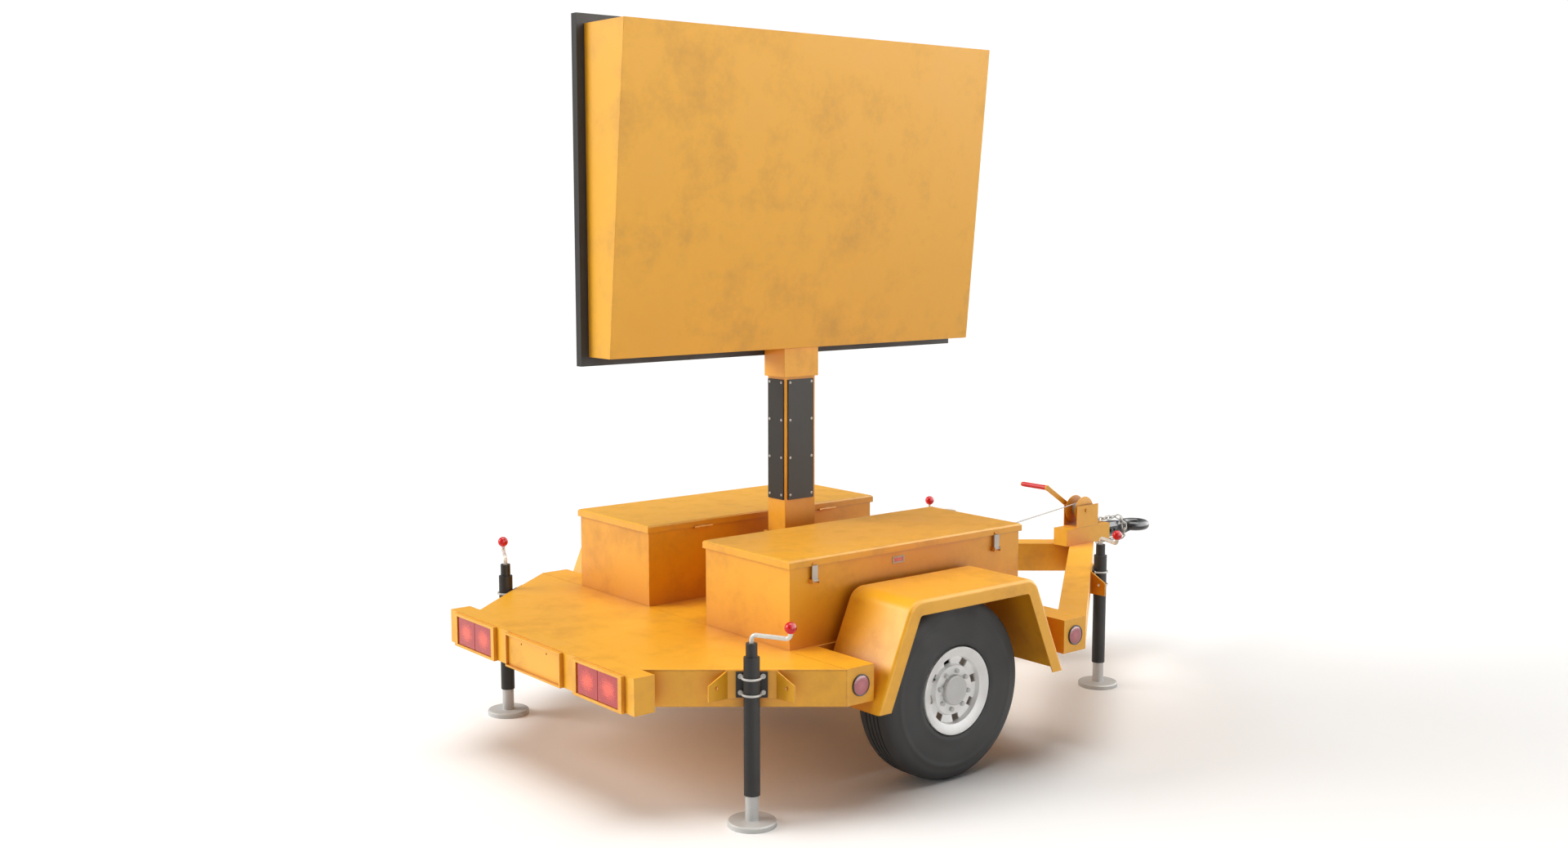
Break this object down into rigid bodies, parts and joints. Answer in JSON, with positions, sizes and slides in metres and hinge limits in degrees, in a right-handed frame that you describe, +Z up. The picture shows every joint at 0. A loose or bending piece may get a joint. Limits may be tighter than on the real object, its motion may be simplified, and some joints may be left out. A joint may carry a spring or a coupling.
{
  "type": "arrow board trailer",
  "caption": "Towed arrow board: a lamp display on a winch-raised mast over a jacked trailer with lidded equipment boxes, fenders, tail lamps and a tow eye.",
  "frame": {"origin": "middle of the bounding box's base, on the ground", "axes": "+X forwards to the tow eye, +Y to the trailer's left, +Z up"},
  "size_m": [3.458, 2.09, 2.79],
  "materials": {
    "yellow_paint": "gloss",
    "black_paint": "satin",
    "zinc_steel": "satin",
    "wheel_paint": "satin",
    "tyre_rubber": "matte",
    "red_plastic": "gloss",
    "red_lens": "gloss",
    "amber_lens": "gloss",
    "black_plastic": "matte",
    "wear_plastic": "satin"
  },
  "bodies": {
    "frame": {"rear_cross_member": "yellow_paint", "front_cross_member": "yellow_paint", "side_rails": "yellow_paint", "tail_rails": "yellow_paint", "deck_plates": "yellow_paint", "bumper": "yellow_paint", "lamp_housings": "yellow_paint", "tail_lenses": "red_lens", "reflectors": "red_lens", "tongue_beams": "yellow_paint", "coupler_tube": "yellow_paint", "lunette": "black_paint", "safety_chain": "zinc_steel", "torsion_axle": "black_paint", "fender_left": "yellow_paint", "fender_right": "yellow_paint", "jack_brackets": "yellow_paint", "jack_tubes": "black_paint", "jack_u_bolts": "zinc_steel", "box_left": "yellow_paint", "box_right": "yellow_paint", "battery_bank": "black_plastic", "outer_mast": "yellow_paint", "hoist_cable": "zinc_steel", "winch_frame": "yellow_paint"},
    "leg_rear_left": {"jack_leg_rear_left": "zinc_steel"},
    "crank_rear_left": {"jack_crank_rear_left": "zinc_steel", "jack_knob_rear_left": "red_plastic"},
    "leg_rear_right": {"jack_leg_rear_right": "zinc_steel"},
    "crank_rear_right": {"jack_crank_rear_right": "zinc_steel", "jack_knob_rear_right": "red_plastic"},
    "leg_front_left": {"jack_leg_front_left": "zinc_steel"},
    "crank_front_left": {"jack_crank_front_left": "zinc_steel", "jack_knob_front_left": "red_plastic"},
    "leg_front_right": {"jack_leg_front_right": "zinc_steel"},
    "crank_front_right": {"jack_crank_front_right": "zinc_steel", "jack_knob_front_right": "red_plastic"},
    "lid_left": {"lid_left": "yellow_paint"},
    "latch_left_rear": {"latch_left_rear": "zinc_steel"},
    "latch_left_front": {"latch_left_front": "zinc_steel"},
    "lid_right": {"lid_right": "yellow_paint"},
    "latch_right_rear": {"latch_right_rear": "zinc_steel"},
    "latch_right_front": {"latch_right_front": "zinc_steel"},
    "mast": {"inner_mast": "yellow_paint", "wear_plates": "wear_plastic"},
    "sign": {"sign_frame": "yellow_paint", "sign_housing": "yellow_paint", "display_panel": "black_paint", "lamps": "amber_lens"},
    "foot_sheave": {"foot_sheave": "zinc_steel"},
    "top_sheave": {"top_sheave": "zinc_steel"},
    "winch_drum": {"winch_drum": "yellow_paint"},
    "winch_lever": {"winch_lever": "yellow_paint"},
    "winch_grip": {"winch_grip": "red_plastic"},
    "wheel_left": {"tyre_left": "tyre_rubber", "wheel_left": "wheel_paint", "hub_left": "zinc_steel"},
    "wheel_right": {"tyre_right": "tyre_rubber", "wheel_right": "wheel_paint", "hub_right": "zinc_steel"}
  },
  "joints": [
    {"name": "jack_rear_left", "type": "slide", "parent": "frame", "child": "leg_rear_left", "axis": [0, 0, 1], "range_m": [-0.25, 0.085]},
    {"name": "crank_turn_rear_left", "type": "hinge", "parent": "frame", "child": "crank_rear_left", "pos_m": [-1.36333, 0.83203, 0.66], "axis": [0, 0, 1], "continuous": true},
    {"name": "jack_rear_right", "type": "slide", "parent": "frame", "child": "leg_rear_right", "axis": [0, 0, 1], "range_m": [-0.25, 0.085]},
    {"name": "crank_turn_rear_right", "type": "hinge", "parent": "frame", "child": "crank_rear_right", "pos_m": [-1.36333, -0.83203, 0.66], "axis": [0, 0, 1], "continuous": true},
    {"name": "jack_front_left", "type": "slide", "parent": "frame", "child": "leg_front_left", "axis": [0, 0, 1], "range_m": [-0.25, 0.085]},
    {"name": "crank_turn_front_left", "type": "hinge", "parent": "frame", "child": "crank_front_left", "pos_m": [0.88119, 0.44449, 0.66], "axis": [0, 0, 1], "continuous": true},
    {"name": "jack_front_right", "type": "slide", "parent": "frame", "child": "leg_front_right", "axis": [0, 0, 1], "range_m": [-0.25, 0.085]},
    {"name": "crank_turn_front_right", "type": "hinge", "parent": "frame", "child": "crank_front_right", "pos_m": [0.88119, -0.44449, 0.66], "axis": [0, 0, 1], "continuous": true},
    {"name": "lid_open_left", "type": "hinge", "parent": "frame", "child": "lid_left", "pos_m": [-0.497, 0.176, 0.826], "axis": [1, 0, 0], "range_deg": [0, 80]},
    {"name": "latch_left_rear", "type": "hinge", "parent": "frame", "child": "latch_left_rear", "pos_m": [-0.97661, 0.704, 0.771], "axis": [-1, 0, 0], "range_deg": [0, 100]},
    {"name": "latch_left_front", "type": "hinge", "parent": "frame", "child": "latch_left_front", "pos_m": [-0.04918, 0.704, 0.771], "axis": [-1, 0, 0], "range_deg": [0, 100]},
    {"name": "lid_open_right", "type": "hinge", "parent": "frame", "child": "lid_right", "pos_m": [-0.497, -0.176, 0.826], "axis": [-1, 0, 0], "range_deg": [0, 80]},
    {"name": "latch_right_rear", "type": "hinge", "parent": "frame", "child": "latch_right_rear", "pos_m": [-0.97661, -0.704, 0.771], "axis": [1, 0, 0], "range_deg": [0, 100]},
    {"name": "latch_right_front", "type": "hinge", "parent": "frame", "child": "latch_right_front", "pos_m": [-0.04918, -0.704, 0.771], "axis": [1, 0, 0], "range_deg": [0, 100]},
    {"name": "mast_raise", "type": "slide", "parent": "frame", "child": "mast", "axis": [0, 0, 1], "range_m": [-0.45, 0]},
    {"name": "sign_turn", "type": "hinge", "parent": "mast", "child": "sign", "pos_m": [-0.511, 0, 1.48], "axis": [0, 0, 1], "range_deg": [-180, 180]},
    {"name": "foot_sheave_turn", "type": "hinge", "parent": "frame", "child": "foot_sheave", "pos_m": [-0.344, 0, 0.574], "axis": [0, 1, 0], "continuous": true},
    {"name": "top_sheave_turn", "type": "hinge", "parent": "frame", "child": "top_sheave", "pos_m": [-0.394, 0, 0.773], "axis": [0, 1, 0], "continuous": true},
    {"name": "drum_turn", "type": "hinge", "parent": "frame", "child": "winch_drum", "pos_m": [1.251, 0, 0.69], "axis": [0, 1, 0], "continuous": true},
    {"name": "lever_swing", "type": "hinge", "parent": "frame", "child": "winch_lever", "pos_m": [1.251, 0.051, 0.69], "axis": [0, 1, 0], "range_deg": [-50, 100]},
    {"name": "grip_turn", "type": "hinge", "parent": "winch_lever", "child": "winch_grip", "pos_m": [1.07922, 0.13, 0.8037], "axis": [0, 1, 0], "continuous": true},
    {"name": "wheel_spin_left", "type": "hinge", "parent": "frame", "child": "wheel_left", "pos_m": [-0.506, 0.857, 0.34], "axis": [0, 1, 0], "continuous": true},
    {"name": "wheel_spin_right", "type": "hinge", "parent": "frame", "child": "wheel_right", "pos_m": [-0.506, -0.857, 0.34], "axis": [0, 1, 0], "continuous": true}
  ],
  "couplings": [
    {"joint": "crank_turn_rear_left", "follows": "jack_rear_left", "rad_per_m": 523.6},
    {"joint": "crank_turn_rear_right", "follows": "jack_rear_right", "rad_per_m": 523.6},
    {"joint": "crank_turn_front_left", "follows": "jack_front_left", "rad_per_m": 523.6},
    {"joint": "crank_turn_front_right", "follows": "jack_front_right", "rad_per_m": 523.6},
    {"joint": "foot_sheave_turn", "follows": "mast_raise", "rad_per_m": -40},
    {"joint": "top_sheave_turn", "follows": "mast_raise", "rad_per_m": 40},
    {"joint": "drum_turn", "follows": "mast_raise", "rad_per_m": 30.303}
  ]
}
